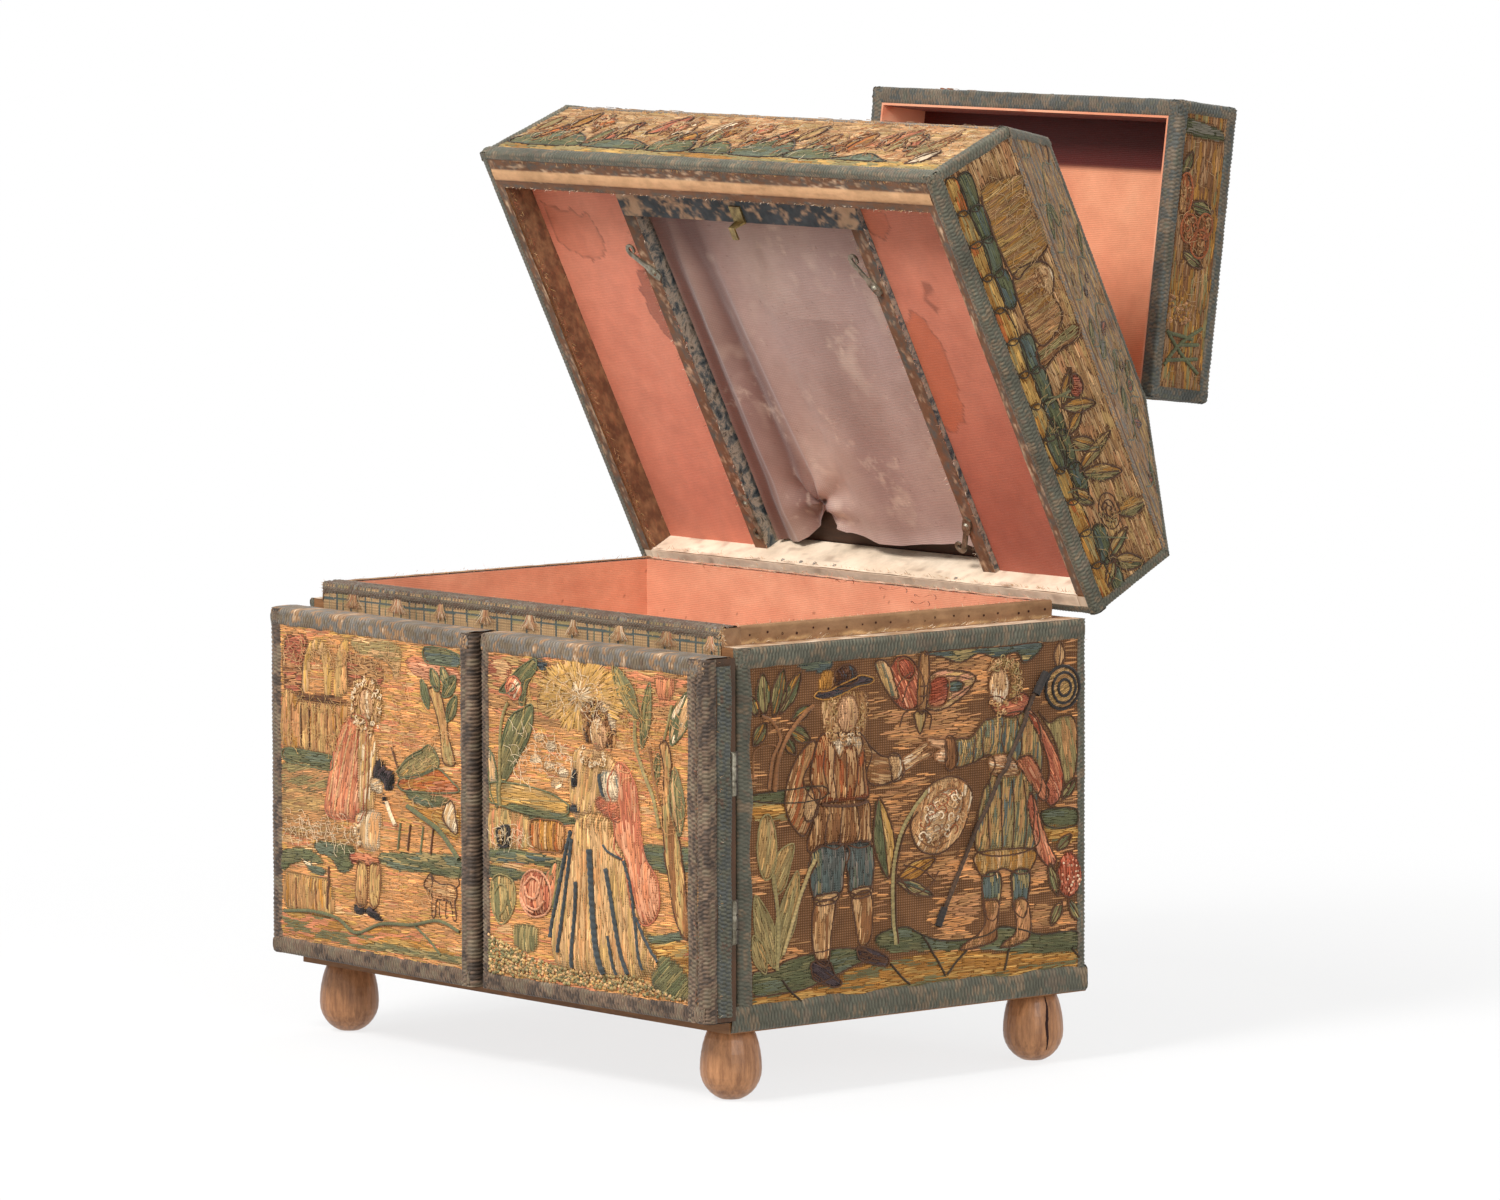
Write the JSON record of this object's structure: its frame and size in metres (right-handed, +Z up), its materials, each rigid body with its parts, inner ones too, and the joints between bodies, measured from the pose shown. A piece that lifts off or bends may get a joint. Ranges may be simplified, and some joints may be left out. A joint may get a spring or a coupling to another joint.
{
  "type": "sewing casket",
  "caption": "Embroidered sewing casket: front doors over drawers, a canted hinged lid with a looking-glass recess, a small top lid over a tray, and turned feet.",
  "frame": {"origin": "middle of the bounding box, on the floor under the feet", "axes": "+X to the right seen from the front, +Y from the doors towards the back, +Z up"},
  "size_m": [0.292, 0.3312, 0.3905],
  "materials": {
    "turned_wood": "turned and waxed",
    "wood": "plain oak",
    "pale_wood": "bare wood with worn cloth edges",
    "checked_cloth_on_wood": "checked cloth glued over wood",
    "embroidery": "silk and wool embroidery on canvas",
    "silk_lined_card": "card lined with pink silk",
    "silk": "faded salmon silk over card",
    "loose_silk": "thin lavender silk",
    "marbled_paper_on_wood": "marbled paper glued over wood",
    "papered_board": "aged paper",
    "brass": "tarnished",
    "iron": "wrought, darkened"
  },
  "bodies": {
    "casket": {"foot_front_left": "turned_wood", "foot_front_right": "turned_wood", "foot_back_left": "turned_wood", "foot_back_right": "turned_wood", "base_board": "wood", "side_board_left": "wood", "side_board_right": "wood", "back_board": "wood", "front_rail": "checked_cloth_on_wood", "carcass_cover": "embroidery", "compartment_tray": "silk_lined_card", "drawer_partitions": "wood", "drawer_bottom": "wood", "drawer_middle_left": "wood", "drawer_middle_right": "wood", "drawer_upper_left": "wood", "drawer_upper_right": "wood", "left_door_hinge_fixed_lower": "iron", "left_door_hinge_fixed_upper": "iron", "right_door_hinge_fixed_lower": "iron", "right_door_hinge_fixed_upper": "iron", "lid_hinge_fixed_left": "iron", "lid_hinge_fixed_right": "iron"},
    "left_door": {"left_door": "wood", "left_door_cover": "embroidery", "left_door_hinge_leaf_lower": "iron", "left_door_hinge_leaf_upper": "iron", "bolt_keeper": "iron"},
    "right_door": {"right_door": "wood", "right_door_cover": "embroidery", "right_door_hinge_leaf_lower": "iron", "right_door_hinge_leaf_upper": "iron", "lock_case": "iron"},
    "lock_bolt": {"lock_bolt": "iron"},
    "lid": {"lid_front_wall": "pale_wood", "lid_back_wall": "wood", "lid_left_wall": "wood", "lid_right_wall": "wood", "lid_front_cant": "wood", "lid_back_cant": "wood", "lid_left_cant": "wood", "lid_right_cant": "wood", "lid_cover": "embroidery", "top_tray": "silk_lined_card", "ceiling_panel_left": "silk", "ceiling_panel_right": "silk", "recess_frame": "marbled_paper_on_wood", "recess_back": "papered_board", "recess_lining_sheet": "loose_silk", "recess_catch": "brass", "lid_hinge_leaf_left": "iron", "lid_hinge_leaf_right": "iron", "top_lid_hinge_fixed": "iron"},
    "top_lid": {"top_lid": "wood", "top_lid_cover": "embroidery", "top_lid_hinge_leaf": "iron"},
    "turn_hook_front_left": {"turn_hook_front_left": "brass"},
    "turn_hook_front_right": {"turn_hook_front_right": "brass"},
    "turn_hook_back_left": {"turn_hook_back_left": "brass"},
    "turn_hook_back_right": {"turn_hook_back_right": "brass"}
  },
  "joints": [
    {"name": "lid_hinge", "type": "hinge", "parent": "casket", "child": "lid", "pos_m": [0, 0.04444, 0.1828], "axis": [-1, 0, 0], "range_deg": [-63.6, 45]},
    {"name": "top_lid_hinge", "type": "hinge", "parent": "lid", "child": "top_lid", "pos_m": [0, 0.11681, 0.2664], "axis": [-1, 0, 0], "range_deg": [-34.2, 75]},
    {"name": "left_door_hinge", "type": "hinge", "parent": "casket", "child": "left_door", "pos_m": [-0.1405, -0.14436, 0.12], "axis": [0, 0, -1], "range_deg": [-1.9, 108]},
    {"name": "right_door_hinge", "type": "hinge", "parent": "casket", "child": "right_door", "pos_m": [0.1405, -0.14436, 0.12], "axis": [0, 0, 1], "range_deg": [-0.9, 108]},
    {"name": "lock_bolt_slide", "type": "slide", "parent": "right_door", "child": "lock_bolt", "axis": [-0.9999, -0.0157, 0], "range_m": [0, 0.009]},
    {"name": "turn_hook_front_left_swivel", "type": "hinge", "parent": "lid", "child": "turn_hook_front_left", "pos_m": [-0.0716, -0.01103, 0.31771], "axis": [0, 0.8957, 0.4446], "range_deg": [-135, 135]},
    {"name": "turn_hook_front_right_swivel", "type": "hinge", "parent": "lid", "child": "turn_hook_front_right", "pos_m": [0.0716, -0.01103, 0.31771], "axis": [0, 0.8957, 0.4446], "range_deg": [-135, 135]},
    {"name": "turn_hook_back_left_swivel", "type": "hinge", "parent": "lid", "child": "turn_hook_back_left", "pos_m": [-0.0716, 0.03917, 0.21658], "axis": [0, 0.8957, 0.4446], "range_deg": [-135, 135]},
    {"name": "turn_hook_back_right_swivel", "type": "hinge", "parent": "lid", "child": "turn_hook_back_right", "pos_m": [0.0716, 0.03917, 0.21658], "axis": [0, 0.8957, 0.4446], "range_deg": [-135, 135]}
  ]
}
